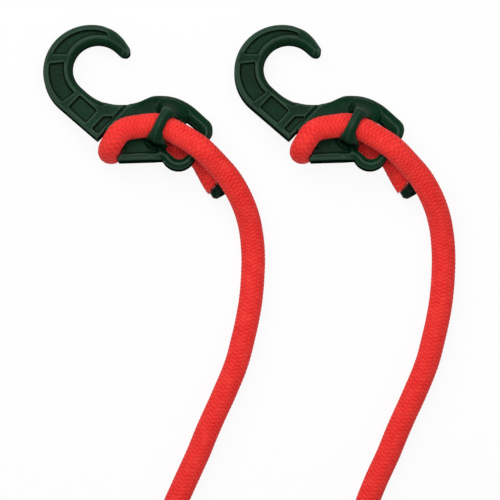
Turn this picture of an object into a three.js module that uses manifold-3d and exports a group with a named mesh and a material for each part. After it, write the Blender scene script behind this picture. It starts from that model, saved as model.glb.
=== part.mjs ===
// A four-arm bungee strap lying on a table: two elastic cords cross in a moulded hub, and each of their
// four ends is hitched to a moulded hook. Millimetres, +Z up, origin under the middle of the hub.
import * as THREE from "three";
import { mergeVertices } from "three/addons/utils/BufferGeometryUtils.js";
import Module from "manifold-3d";

const wasm = await Module();
wasm.setup();

// Driving dimensions: the cord
const CORD_DIAMETER = 9;
const SHEATH_WALL = 0.65;
const CORE_GAP = 0.3;
const CLEARANCE = 0.3;
const CORD_SIDES = 8;
const CHANNEL_SIDES = 10;
const STEP_DIAMETERS = 2.6;
const STRETCH_TURN = THREE.MathUtils.degToRad(24);
const ROUTE_DIVISIONS = 1200;

// Driving dimensions: the hook, in its own frame: u runs along the shank to the eye, v across towards
// the tip's side, w out of the front face
const HOOK_THICKNESS = 7;
const SADDLE_THICKNESS = 4;
const CROOK_RADIUS = 18;
const CROOK_U = -30.95;
const CROOK_V = 1.2;
const THROAT_RADIUS = 9.5;
const THROAT_U = -29.85;
const THROAT_V = 3.8;
const TIP_RADIUS = 2.2;
const TIP_REACH = 3;
const TIP_START = THREE.MathUtils.degToRad(118);
const TIP_END = THREE.MathUtils.degToRad(64);
const TIP_SHARES = [[0.35, 0.965], [0.7, 0.965]];
const RIM = 2.1;
const INNER_RIM = 3.3;
const POCKET_DEPTH = 1.5;
const SHANK_RIM = 2.7;
const CROSS_RIB = 3.2;
const RIB_SHARE = 0.545;
const ARC_POCKETS = [[198, 112], [270, 212]];
const NECK_SHARE = 0.157;
const NECK_END = THREE.MathUtils.degToRad(-19.5);
const SHOULDER_SHARES = [[0.66, 0.575], [0.3, 0.81], [0, 0.92], [-0.41, 0.99]];
const NOTCH_LEFT = -11.5;
const NOTCH_RIGHT = -1.8;
const SADDLE_V = -9.7;
const LOBE_RADIUS = 4.5;
const UPPER_LOBE_U = 14.3;
const HOOK_TOP_V = 17.1;
const LOWER_LOBE_RADIUS = 6.5;
const LOWER_LOBE_U = 14.1;
const LOWER_LOBE_V = 0.5;
const LOWER_LOBE_END = THREE.MathUtils.degToRad(-112);
const HORN_V = -17;
const HORN_RADIUS = 1.2;
const RECESS_RIGHT = 9.4;
const WINDOW_LEFT = 3;
const WINDOW_RIGHT = 17.2;
const WINDOW_LOW = -2;
const WINDOW_HIGH = 11.7;
const WINDOW_CORNER = 2.2;
const BRIDGE_THICKNESS = 2.5;
const BRIDGE_WIDTH = 4.3;
const BRIDGE_U = 3.2;
const BRIDGE_V = 3.1;
const BRIDGE_TURN = THREE.MathUtils.degToRad(16);

// How a hook lies: its crook touches the table and its eye leans on the cord behind it
const HOOK_PITCH = THREE.MathUtils.degToRad(6.6);
const HOOK_ROLL = THREE.MathUtils.degToRad(8);
const HOOK_SINK = 0.65;
const TAIL_DROPS = [2.55, 2.15, 1.7];

// Driving dimensions: the plug in each cord end
const PLUG_HEAD_RADIUS = 3.7;
const PLUG_HEAD_LENGTH = 5.4;
const PLUG_CHAMFER = 0.9;
const PLUG_SPIGOT_LENGTH = 7;

// Driving dimensions: the hub
const HUB_RADIUS = 24;
const HUB_EDGE = 2.2;
const HUB_FLOOR = 2.2;
const HUB_CAVITY_RADIUS = 13;
const COLLAR_RADIUS = 7.2;
const COLLAR_REACH = 30;
const PORT_ANGLE = THREE.MathUtils.degToRad(45);
const SCREW_CIRCLE = 19;
const SCREW_HEAD_RADIUS = 2.8;
const SCREW_HEAD_HEIGHT = 2.1;
const SCREW_RADIUS = 1.5;
const SCREW_LENGTH = 14;
const SCREW_RECESS = 0.6;
const SCREW_COUNT = 4;
const DIP_SHARE = 0.32;
const OVERRUN = 3;

// Worked out from the sizes above
const CORD_RADIUS = CORD_DIAMETER / 2;
const BORE_RADIUS = CORD_RADIUS - SHEATH_WALL;
const CORE_RADIUS = BORE_RADIUS - CORE_GAP;
const LAID_W = SADDLE_THICKNESS / 2 + CLEARANCE + CORD_RADIUS;
const HOOK_HEIGHT = LAID_W + CORD_RADIUS - HOOK_SINK;
const HUB_HALF = HUB_FLOOR + CLEARANCE + CORD_RADIUS + (CORD_DIAMETER + CLEARANCE) / 2;

const PLASTIC = { color: 0x16302a, roughness: 0.5, metalness: 0 };
const SHEATH = { color: 0xe33c34, roughness: 0.85, metalness: 0 };
const RUBBER = { color: 0xb9a98a, roughness: 0.9, metalness: 0 };
const STEEL = { color: 0xb4b7ba, roughness: 0.35, metalness: 1 };

const root = new THREE.Group();

function addMesh(parent, name, geometry, look) {
  const mesh = new THREE.Mesh(geometry, new THREE.MeshStandardMaterial(look));
  mesh.name = name;
  parent.add(mesh);
  return mesh;
}

// A closed geometry as a solid that can be joined and cut
function solidOf(geometry) {
  const bare = geometry.index ? geometry.toNonIndexed() : geometry.clone();
  bare.deleteAttribute("normal");
  bare.deleteAttribute("uv");
  const merged = mergeVertices(bare, CLEARANCE / 1000);
  const mesh = new wasm.Mesh({
    numProp: 3,
    vertProperties: merged.attributes.position.array,
    triVerts: new Uint32Array(merged.index.array),
  });
  return new wasm.Manifold(mesh);
}

function geometryOf(solid) {
  const mesh = solid.getMesh();
  const geometry = new THREE.BufferGeometry();
  geometry.setAttribute("position", new THREE.BufferAttribute(mesh.vertProperties, 3));
  geometry.setIndex(new THREE.BufferAttribute(mesh.triVerts, 1));
  const flat = geometry.toNonIndexed();
  flat.computeVertexNormals();
  return flat;
}

// An outline pulled through from one level to another
function slab(shape, low, high) {
  const geometry = new THREE.ExtrudeGeometry(shape, {
    depth: high - low,
    bevelEnabled: false,
    curveSegments: 1,
  });
  geometry.translate(0, 0, low);
  return solidOf(geometry);
}

function circlePoints(u, v, radius, from, to, steps) {
  const points = [];
  for (let i = 0; i <= steps; i++) {
    const angle = THREE.MathUtils.lerp(from, to, i / steps);
    points.push(new THREE.Vector2(u + radius * Math.cos(angle), v + radius * Math.sin(angle)));
  }
  return points;
}

// A polygon whose corners are rounded by one radius
function rounded(corners, radius, steps = 3) {
  const points = [];
  corners.forEach((corner, i) => {
    const before = corners[(i + corners.length - 1) % corners.length];
    const after = corners[(i + 1) % corners.length];
    const toBefore = before.clone().sub(corner).normalize();
    const toAfter = after.clone().sub(corner).normalize();
    const half = Math.acos(THREE.MathUtils.clamp(toBefore.dot(toAfter), -1, 1)) / 2;
    const back = radius / Math.tan(half);
    const start = corner.clone().addScaledVector(toBefore, back);
    const end = corner.clone().addScaledVector(toAfter, back);
    const curve = new THREE.QuadraticBezierCurve(start, corner, end);
    points.push(...curve.getPoints(steps));
  });
  return new THREE.Shape(points);
}

const at = (u, v) => new THREE.Vector2(u, v);

// Part of a longer route, with its steps closer together where the route bends, and one at each stop
class Stretch extends THREE.Curve {
  constructor(route, from, to, stop = to) {
    super();
    this.route = route;
    this.length = route.getLength();
    this.stations = [from / this.length];
    const fine = CORD_RADIUS / 6 / this.length;
    let turned = 0;
    let stopped = false;
    for (let share = this.stations[0] + fine; share < to / this.length; share += fine) {
      turned += route.getTangentAt(share).angleTo(route.getTangentAt(share - fine));
      const run = (share - this.stations.at(-1)) * this.length;
      const atStop = !stopped && share * this.length >= stop;
      if (atStop || turned > STRETCH_TURN || run > STEP_DIAMETERS * CORD_DIAMETER) {
        this.stations.push(atStop ? stop / this.length : share);
        stopped ||= atStop;
        turned = 0;
      }
    }
    const last = to / this.length;
    if (this.stations.length > 1 && last - this.stations.at(-1) < 2 * fine) {
      this.stations.pop();
    }
    this.stations.push(last);
    this.steps = this.stations.length - 1;
  }

  // The same stretch from its stop on
  after(stop) {
    const rest = Object.create(this);
    rest.stations = this.stations.filter((share) => share * this.length > stop - CLEARANCE / 2);
    rest.steps = rest.stations.length - 1;
    return rest;
  }

  along(share) {
    const place = THREE.MathUtils.clamp(share, 0, 1) * this.steps;
    const index = Math.min(Math.floor(place), this.steps - 1);
    return THREE.MathUtils.lerp(this.stations[index], this.stations[index + 1], place - index);
  }

  getPointAt(share) {
    return this.route.getPointAt(this.along(share));
  }

  getTangentAt(share) {
    return this.route.getTangentAt(this.along(share));
  }
}

function tube(stretch, radius, bore = 0, sides = CORD_SIDES) {
  const section = new THREE.Shape(circlePoints(0, 0, radius, 0, 2 * Math.PI, sides).slice(0, sides));
  if (bore) {
    section.holes.push(new THREE.Path(circlePoints(0, 0, bore, 0, -2 * Math.PI, sides).slice(0, sides)));
  }
  return new THREE.ExtrudeGeometry(section, {
    steps: stretch.steps,
    extrudePath: stretch,
    bevelEnabled: false,
    curveSegments: 1,
  });
}

// The cord's way round the hook, in the hook's frame, from the plug to the far side of the eye. It runs
// behind the saddle, wraps its rounded edge, comes back in front and goes out under the bridge.
const TAIL_POINTS = [
  [30.4, 2.9, -LAID_W - TAIL_DROPS[0]],
  [27.7, 3.6, -LAID_W - TAIL_DROPS[1]],
  [24.9, 4.6, -LAID_W - TAIL_DROPS[2]],
  [20.2, 5.7, -LAID_W],
  [14.0, 4.4, -LAID_W],
  [6.6, 1.1, -LAID_W],
  [0.8, -3.7, -LAID_W],
];
const FRONT_POINTS = [
  [-5.4, -6.5, LAID_W],
  [-2.3, -2.4, LAID_W],
  [1.5, 1.7, LAID_W],
  [6.3, 4.1, LAID_W],
  [10.8, 5.2, LAID_W],
  [15.8, 6.2, LAID_W],
  [20.6, 6.7, 6.7],
];
const WRAP_BACK_U = -4.4;
const WRAP_FRONT_U = -6.4;
const WRAP_STEPS = 6;
const POINTS_TO_EYE = 3;

function wrapPoints() {
  const points = [];
  for (let i = 0; i <= WRAP_STEPS; i++) {
    const share = i / WRAP_STEPS;
    const angle = THREE.MathUtils.lerp(-Math.PI / 2, -1.5 * Math.PI, share);
    const u = THREE.MathUtils.lerp(WRAP_BACK_U, WRAP_FRONT_U, share);
    points.push([u, SADDLE_V + LAID_W * Math.cos(angle), LAID_W * Math.sin(angle)]);
  }
  return points;
}

const HITCH_POINTS = [...TAIL_POINTS, ...wrapPoints(), ...FRONT_POINTS].map((p) => new THREE.Vector3(...p));
const EYE_POINT = TAIL_POINTS.length + WRAP_STEPS + POINTS_TO_EYE;

// The hook
function hookOutline() {
  const tipU = THROAT_U + TIP_REACH;
  const tipV = THROAT_V + THROAT_RADIUS + TIP_RADIUS;
  const startU = CROOK_U + CROOK_RADIUS * Math.cos(TIP_START);
  const startV = CROOK_V + CROOK_RADIUS * Math.sin(TIP_START);
  const topV = CROOK_V + CROOK_RADIUS;
  const tipBack = new THREE.SplineCurve([
    at(startU, startV),
    ...TIP_SHARES.map(([uShare, vShare]) => at(THREE.MathUtils.lerp(startU, tipU, uShare), vShare * topV)),
    at(tipU + TIP_RADIUS * Math.cos(TIP_END), tipV + TIP_RADIUS * Math.sin(TIP_END)),
  ]);
  const saddleEdge = SADDLE_V - SADDLE_THICKNESS / 2;
  const neckRadius = 2 * THROAT_RADIUS;
  const neckU = THROAT_U + NECK_SHARE * neckRadius;
  const neckV = THROAT_V - THROAT_RADIUS + neckRadius;
  const shoulder = new THREE.SplineCurve([
    at(neckU + neckRadius * Math.cos(NECK_END), neckV + neckRadius * Math.sin(NECK_END)),
    ...SHOULDER_SHARES.map(([uShare, vShare]) => at(uShare * NOTCH_LEFT, vShare * HOOK_TOP_V)),
    at(UPPER_LOBE_U, HOOK_TOP_V),
  ]);
  return new THREE.Shape([
    at(NOTCH_LEFT, CROOK_V - CROOK_RADIUS),
    ...circlePoints(CROOK_U, CROOK_V, CROOK_RADIUS, -Math.PI / 2, TIP_START - 2 * Math.PI, 15),
    ...tipBack.getPoints(5).slice(1),
    ...circlePoints(tipU, tipV, TIP_RADIUS, TIP_END, -Math.PI / 2, 6).slice(1),
    ...circlePoints(THROAT_U, THROAT_V, THROAT_RADIUS, Math.PI / 2, 1.5 * Math.PI, 12),
    ...circlePoints(neckU, neckV, neckRadius, -Math.PI / 2, NECK_END, 6).slice(0, -1),
    ...shoulder.getPoints(9),
    ...circlePoints(UPPER_LOBE_U, HOOK_TOP_V - LOBE_RADIUS, LOBE_RADIUS, Math.PI / 2, 0, 4).slice(1),
    ...circlePoints(LOWER_LOBE_U, LOWER_LOBE_V, LOWER_LOBE_RADIUS, 0, LOWER_LOBE_END, 6),
    at(NOTCH_RIGHT + 2 * HORN_RADIUS, HORN_V + HORN_RADIUS),
    at(NOTCH_RIGHT + HORN_RADIUS, HORN_V),
    at(NOTCH_RIGHT, HORN_V),
    at(NOTCH_RIGHT, saddleEdge),
    at(NOTCH_LEFT, saddleEdge),
  ].reverse());
}

// Sunk fields between the ribs, the same on the front and the back
function pocketOutlines() {
  const outer = CROOK_RADIUS - RIM;
  const inner = THROAT_RADIUS + INNER_RIM;
  const arcs = ARC_POCKETS.map((span) => {
    const [from, to] = span.map((angle) => THREE.MathUtils.degToRad(angle));
    return new THREE.Shape([
      ...circlePoints(CROOK_U, CROOK_V, outer, from, to, 7),
      ...circlePoints(THROAT_U, THROAT_V, inner, to, from, 7),
    ]);
  });
  const low = CROOK_V - outer;
  const high = THROAT_V - THROAT_RADIUS - SHANK_RIM;
  const firstRib = CROOK_U + CROSS_RIB;
  const secondRib = THREE.MathUtils.lerp(firstRib, NOTCH_LEFT, RIB_SHARE);
  const lastEnd = NOTCH_LEFT - RIM / 2;
  const corner = POCKET_DEPTH / 2;
  const recessLeft = NOTCH_RIGHT - CLEARANCE;
  const recessTop = WINDOW_LOW - RIM;
  return [
    ...arcs,
    rounded([at(firstRib, low), at(secondRib, low), at(secondRib, high), at(firstRib, high)], corner, 1),
    rounded([
      at(secondRib + CROSS_RIB, low),
      at(lastEnd, low),
      at(lastEnd, high + SHANK_RIM),
      at(secondRib + CROSS_RIB, high),
    ], corner, 1),
    new THREE.Shape([
      at(recessLeft, HORN_V + RIM),
      at(RECESS_RIGHT, recessTop),
      at(recessLeft, recessTop),
    ]),
  ];
}

function bridgeSolid() {
  const inner = CORD_RADIUS + CLEARANCE + CLEARANCE / 2;
  const outer = inner + BRIDGE_THICKNESS;
  const foot = LAID_W - HOOK_THICKNESS / 4;
  const arch = new THREE.Shape([
    at(outer, -foot),
    ...circlePoints(0, 0, outer, 0, Math.PI, 10),
    at(-outer, -foot),
    at(-inner, -foot),
    ...circlePoints(0, 0, inner, Math.PI, 0, 8),
    at(inner, -foot),
  ]);
  const geometry = new THREE.ExtrudeGeometry(arch, {
    depth: BRIDGE_WIDTH,
    bevelEnabled: false,
    curveSegments: 1,
  });
  geometry.translate(0, 0, -BRIDGE_WIDTH / 2);
  geometry.rotateX(Math.PI / 2);
  geometry.rotateZ(Math.PI / 2 + BRIDGE_TURN);
  geometry.translate(BRIDGE_U, BRIDGE_V, LAID_W);
  return solidOf(geometry);
}

function hookSolid() {
  const half = HOOK_THICKNESS / 2;
  const windowOutline = rounded([
    at(WINDOW_LEFT, WINDOW_LOW),
    at(WINDOW_RIGHT, WINDOW_LOW),
    at(WINDOW_RIGHT, WINDOW_HIGH),
    at(WINDOW_LEFT, WINDOW_HIGH),
  ], WINDOW_CORNER);
  let hook = slab(hookOutline(), -half, half);
  hook = hook.subtract(slab(windowOutline, -half - OVERRUN, half + OVERRUN));
  for (const outline of pocketOutlines()) {
    hook = hook.subtract(slab(outline, half - POCKET_DEPTH, half + OVERRUN));
    hook = hook.subtract(slab(outline, -half - OVERRUN, POCKET_DEPTH - half));
  }
  hook = hook.add(bridgeSolid());
  const room = (CORD_RADIUS + 1.5 * CLEARANCE) / Math.cos(Math.PI / CHANNEL_SIDES);
  const beyond = HITCH_POINTS.at(-1).clone().lerp(HITCH_POINTS.at(-2), -2);
  const route = new THREE.CatmullRomCurve3([...HITCH_POINTS, beyond], false, "centripetal");
  const channel = solidOf(tube(new Stretch(route, 0, route.getLength()), room, 0, CHANNEL_SIDES));
  return hook.subtract(channel);
}

// The plug: a chamfered eight-sided head and a round spigot in the sheath's bore
function plugGeometry() {
  const spigot = CORE_RADIUS * Math.cos(Math.PI / CORD_SIDES);
  const profile = [
    at(0, -PLUG_SPIGOT_LENGTH),
    at(spigot, -PLUG_SPIGOT_LENGTH),
    at(spigot, 0),
    at(PLUG_HEAD_RADIUS, 0),
    at(PLUG_HEAD_RADIUS, PLUG_HEAD_LENGTH - PLUG_CHAMFER),
    at(PLUG_HEAD_RADIUS - PLUG_CHAMFER, PLUG_HEAD_LENGTH),
    at(0, PLUG_HEAD_LENGTH),
  ];
  return new THREE.LatheGeometry(profile, CORD_SIDES);
}

// Where each hook lies and how its arm runs from the eye to the hub's collar, chosen by hand. A route
// point's height is in cord diameters.
const ARMS = [
  {
    hook: [-37.5, 227, -42],
    port: 3,
    route: [
      [-11.8, 213.4, 1.78], [-7.8, 208.8, 1.58], [-3.0, 200.4, 1.17], [-0.15, 191.8, 0.76],
      [1.1, 182.0, 0.53], [1.05, 172.6, 0.5], [0, 161.4, 0.5], [-2.25, 150.1, 0.5],
      [-5.25, 138.9, 0.5], [-9.9, 127.6, 0.5], [-15.0, 116.4, 0.5], [-19.7, 105.1, 0.5],
      [-24.8, 93.9, 0.5], [-29.8, 82.6, 0.5], [-34.6, 70.4, 0.5], [-37.6, 57.6, 0.51],
      [-36.8, 45.4, 0.69], [-32.4, 35.2, 1.02],
    ],
  },
  {
    hook: [34.1, 227, -42],
    port: 1,
    route: [
      [59.8, 213.4, 1.78], [63.8, 208.8, 1.58], [68.6, 200.4, 1.17], [71.45, 191.8, 0.76],
      [72.7, 182.0, 0.53], [72.65, 172.6, 0.5], [71.6, 161.4, 0.5], [69.35, 150.1, 0.5],
      [66.35, 138.9, 0.5], [61.7, 127.6, 0.5], [56.6, 116.4, 0.5], [51.9, 105.1, 0.5],
      [46.8, 93.9, 0.5], [42.4, 82.0, 0.5], [39.6, 69.6, 0.5], [38.2, 57.2, 0.51],
      [36.2, 45.6, 0.69], [32.2, 35.4, 1.02],
    ],
  },
  {
    hook: [62.5, 8, -90],
    port: 7,
    route: [
      [70.2, -22.0, 1.78], [70.2, -28.2, 1.58], [70.2, -37.6, 1.17], [70.2, -47.0, 0.76],
      [70.0, -57.0, 0.53], [69.6, -68.0, 0.5], [68.4, -79.0, 0.5], [65.0, -89.6, 0.5],
      [58.0, -98.4, 0.5], [48.0, -103.0, 0.5], [37.4, -101.4, 0.5], [29.6, -94.2, 0.5],
      [26.4, -83.6, 0.5], [27.4, -72.4, 0.5], [30.6, -61.6, 0.5], [33.6, -52.0, 0.53],
      [34.6, -43.6, 0.73], [31.8, -34.6, 1.04],
    ],
  },
  {
    hook: [-68, 30, -90],
    port: 5,
    route: [
      [-60.3, 0, 1.78], [-60.3, -6.2, 1.58], [-60.3, -15.6, 1.17], [-60.2, -25.0, 0.76],
      [-60.0, -36.0, 0.53], [-59.6, -48.0, 0.5], [-59.2, -61.0, 0.5], [-58.8, -74.0, 0.5],
      [-57.4, -86.0, 0.5], [-52.4, -96.6, 0.5], [-43.2, -103.0, 0.5], [-32.6, -101.6, 0.5],
      [-25.2, -93.6, 0.5], [-23.2, -83.0, 0.5], [-25.8, -72.4, 0.5], [-30.2, -61.6, 0.5],
      [-33.8, -52.0, 0.53], [-34.8, -43.6, 0.73], [-31.8, -34.6, 1.04],
    ],
  },
];

function portPoint(port, reach) {
  const angle = port * PORT_ANGLE;
  return new THREE.Vector3(reach * Math.cos(angle), reach * Math.sin(angle), HUB_HALF);
}

const hookGeometry = geometryOf(hookSolid());

// How far along a route the point nearest to a target is
function lengthNear(route, target) {
  const length = route.getLength();
  const steps = Math.ceil(length / CLEARANCE);
  const gaps = route.getSpacedPoints(steps).map((point) => point.distanceTo(target));
  return (gaps.indexOf(Math.min(...gaps)) / steps) * length;
}

function addArm(arm, number) {
  const place = new THREE.Group();
  const [x, y, turn] = arm.hook;
  place.position.set(x, y, HOOK_HEIGHT);
  place.rotation.set(-HOOK_ROLL, -HOOK_PITCH, THREE.MathUtils.degToRad(turn), "ZYX");
  root.add(place);
  place.updateMatrixWorld(true);
  addMesh(place, `hook_${number}`, hookGeometry, PLASTIC);

  const points = HITCH_POINTS.map((p) => place.localToWorld(p.clone()));
  const eye = points[EYE_POINT];
  points.push(...arm.route.map(([px, py, height]) => new THREE.Vector3(px, py, height * CORD_DIAMETER)));
  points.push(portPoint(arm.port, COLLAR_REACH + CORD_RADIUS), portPoint(arm.port, COLLAR_REACH + CLEARANCE));
  const route = new THREE.CatmullRomCurve3(points, false, "centripetal");
  route.arcLengthDivisions = ROUTE_DIVISIONS;
  const length = route.getLength();
  const split = lengthNear(route, eye);
  const spigotEnd = PLUG_SPIGOT_LENGTH + 2 * CLEARANCE;
  const hitch = new Stretch(route, 0, split - CLEARANCE / 2, spigotEnd);
  const free = new Stretch(route, split + CLEARANCE / 2, length);
  const hitchCore = hitch.after(spigotEnd);
  addMesh(root, `hitch_sheath_${number}`, tube(hitch, CORD_RADIUS, BORE_RADIUS), SHEATH);
  addMesh(root, `hitch_core_${number}`, tube(hitchCore, CORE_RADIUS), RUBBER);
  addMesh(root, `arm_sheath_${number}`, tube(free, CORD_RADIUS, BORE_RADIUS), SHEATH);
  addMesh(root, `arm_core_${number}`, tube(free, CORE_RADIUS), RUBBER);

  const plug = addMesh(root, `end_plug_${number}`, plugGeometry(), PLASTIC);
  const outward = hitch.getPointAt(0).sub(route.getPointAt(spigotEnd / length)).normalize();
  plug.quaternion.setFromUnitVectors(THREE.Object3D.DEFAULT_UP, outward);
  plug.position.copy(route.getPointAt(0)).addScaledVector(outward, CLEARANCE);
}

// The hub
function passRoute(port, side) {
  const dip = (CORD_DIAMETER + CLEARANCE) / 2;
  const halfReaches = [COLLAR_REACH, HUB_RADIUS, HUB_CAVITY_RADIUS];
  const reaches = [...halfReaches, 0, ...halfReaches.map((reach) => -reach).reverse()];
  const dipShares = [0, 0, DIP_SHARE, 1, DIP_SHARE, 0, 0];
  const points = reaches.map((reach, i) => {
    const point = portPoint(port, reach);
    point.z += side * dip * dipShares[i];
    return point;
  });
  return new THREE.CatmullRomCurve3(points, false, "centripetal");
}

const PASSES = [passRoute(3, -1), passRoute(1, 1)];

function lathe(profile, segments) {
  const geometry = new THREE.LatheGeometry(profile, segments);
  geometry.rotateX(Math.PI / 2);
  return geometry;
}

function hubShell(upper) {
  const face = HUB_HALF - CLEARANCE / 2;
  const body = solidOf(lathe([
    at(0, 0),
    at(HUB_RADIUS - HUB_EDGE, 0),
    at(HUB_RADIUS, HUB_EDGE),
    at(HUB_RADIUS, face),
    at(0, face),
  ], 40));
  let shell = body;
  for (let port = 1; port < 8; port += 2) {
    const reach = COLLAR_REACH - HUB_CAVITY_RADIUS;
    const collar = new THREE.CylinderGeometry(COLLAR_RADIUS, COLLAR_RADIUS, reach, 20);
    collar.rotateZ(-Math.PI / 2);
    collar.translate(HUB_CAVITY_RADIUS + reach / 2, 0, 0);
    collar.rotateZ(port * PORT_ANGLE);
    collar.translate(0, 0, HUB_HALF);
    shell = shell.add(solidOf(collar));
  }
  const keep = new THREE.BoxGeometry(2 * COLLAR_REACH + OVERRUN, 2 * COLLAR_REACH + OVERRUN, face);
  keep.translate(0, 0, face / 2);
  shell = shell.intersect(solidOf(keep));
  const cavityDepth = face - HUB_FLOOR + OVERRUN;
  const cavity = new THREE.CylinderGeometry(HUB_CAVITY_RADIUS, HUB_CAVITY_RADIUS, cavityDepth, 24);
  cavity.rotateX(Math.PI / 2);
  cavity.translate(0, 0, HUB_FLOOR + cavityDepth / 2);
  shell = shell.subtract(solidOf(cavity));
  let geometry = geometryOf(shell);
  if (upper) {
    geometry.rotateX(Math.PI);
    geometry.translate(0, 0, 2 * HUB_HALF);
  }
  shell = solidOf(geometry);
  const room = (CORD_RADIUS + CLEARANCE) / Math.cos(Math.PI / CORD_SIDES);
  for (const pass of PASSES) {
    const reach = pass.getLength();
    const ends = [pass.getPointAt(0), pass.getPointAt(1)];
    const outward = [pass.getTangentAt(0).negate(), pass.getTangentAt(1)];
    shell = shell.subtract(solidOf(tube(new Stretch(pass, 0, reach), room)));
    ends.forEach((end, i) => {
      const mouth = new THREE.LineCurve3(
        end.clone().addScaledVector(outward[i], -OVERRUN),
        end.clone().addScaledVector(outward[i], OVERRUN),
      );
      shell = shell.subtract(solidOf(tube(new Stretch(mouth, 0, mouth.getLength()), room)));
    });
  }
  for (let quarter = 0; quarter < SCREW_COUNT; quarter++) {
    shell = shell.subtract(solidOf(placeScrew(screwGeometry(CLEARANCE), quarter)));
  }
  return geometryOf(shell);
}

// One screw, or with a margin the hole that takes it
function screwGeometry(margin) {
  const top = 2 * HUB_HALF - SCREW_RECESS;
  const seat = top - SCREW_HEAD_HEIGHT - margin;
  const above = margin ? top + OVERRUN : top;
  return lathe([
    at(0, top - SCREW_LENGTH - margin),
    at(SCREW_RADIUS + margin, top - SCREW_LENGTH - margin),
    at(SCREW_RADIUS + margin, seat),
    at(SCREW_HEAD_RADIUS + margin, seat),
    at(SCREW_HEAD_RADIUS + margin, above),
    at(0, above),
  ], 12);
}

function placeScrew(geometry, quarter) {
  const angle = (2 * Math.PI * quarter) / SCREW_COUNT;
  geometry.translate(SCREW_CIRCLE * Math.cos(angle), SCREW_CIRCLE * Math.sin(angle), 0);
  return geometry;
}

function addHub() {
  addMesh(root, "hub_lower_shell", hubShell(false), PLASTIC);
  addMesh(root, "hub_upper_shell", hubShell(true), PLASTIC);
  for (let quarter = 0; quarter < SCREW_COUNT; quarter++) {
    addMesh(root, `hub_screw_${quarter + 1}`, placeScrew(screwGeometry(0), quarter), STEEL);
  }
  PASSES.forEach((pass, i) => {
    const stretch = new Stretch(pass, 0, pass.getLength(), pass.getLength() / 2);
    addMesh(root, `hub_cord_sheath_${i + 1}`, tube(stretch, CORD_RADIUS, BORE_RADIUS), SHEATH);
    addMesh(root, `hub_cord_core_${i + 1}`, tube(stretch, CORE_RADIUS), RUBBER);
  });
}

ARMS.forEach((arm, i) => addArm(arm, i + 1));
addHub();

export default root;
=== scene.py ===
"""Looks of an elastic strap with four hooked arms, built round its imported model.

Everything is in metres in the model's frame: +Z up, the origin under the hub. Sizes in millimetres are
written as a number times MM, save in the classes that say that they work in millimetres.
"""

import logging
import math
from dataclasses import dataclass, field
from enum import Enum

import bmesh
import bpy
import numpy as np
from mathutils import Matrix, Vector, noise
from mathutils.kdtree import KDTree


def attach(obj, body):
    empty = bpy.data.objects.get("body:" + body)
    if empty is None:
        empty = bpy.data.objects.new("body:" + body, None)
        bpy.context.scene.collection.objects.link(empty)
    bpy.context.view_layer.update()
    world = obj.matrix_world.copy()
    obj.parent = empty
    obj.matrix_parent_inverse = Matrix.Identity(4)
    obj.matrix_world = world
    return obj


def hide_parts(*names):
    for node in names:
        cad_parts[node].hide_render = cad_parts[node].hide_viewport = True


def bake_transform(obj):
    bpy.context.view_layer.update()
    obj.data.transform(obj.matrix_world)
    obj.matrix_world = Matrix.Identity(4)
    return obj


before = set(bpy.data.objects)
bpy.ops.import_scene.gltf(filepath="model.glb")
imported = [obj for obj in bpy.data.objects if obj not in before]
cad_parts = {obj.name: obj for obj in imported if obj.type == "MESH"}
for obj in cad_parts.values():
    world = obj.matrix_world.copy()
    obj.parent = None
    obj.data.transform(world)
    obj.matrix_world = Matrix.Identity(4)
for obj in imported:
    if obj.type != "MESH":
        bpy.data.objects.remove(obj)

LOG = logging.getLogger("bungee_strap")
MM = 0.001
CORD_DIAMETER = 9 * MM
CORD_RADIUS = CORD_DIAMETER / 2
LAID_MM = 6.8
COLLAR_REACH_MM = 30.0
HUB_HALF_MM = 11.65
ENDS_APART_MM = 71.6
HUB_BODY = "hub_and_cords"

Points = np.ndarray


class Layer(Enum):
    """Which side of the parting line a hub shell is on."""

    LOWER = "lower"
    UPPER = "upper"


class Bake(Enum):
    """How fine the grid is on which a moulded piece is cast."""

    HOOK = 0.30 * MM
    HUB = 0.40 * MM


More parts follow.
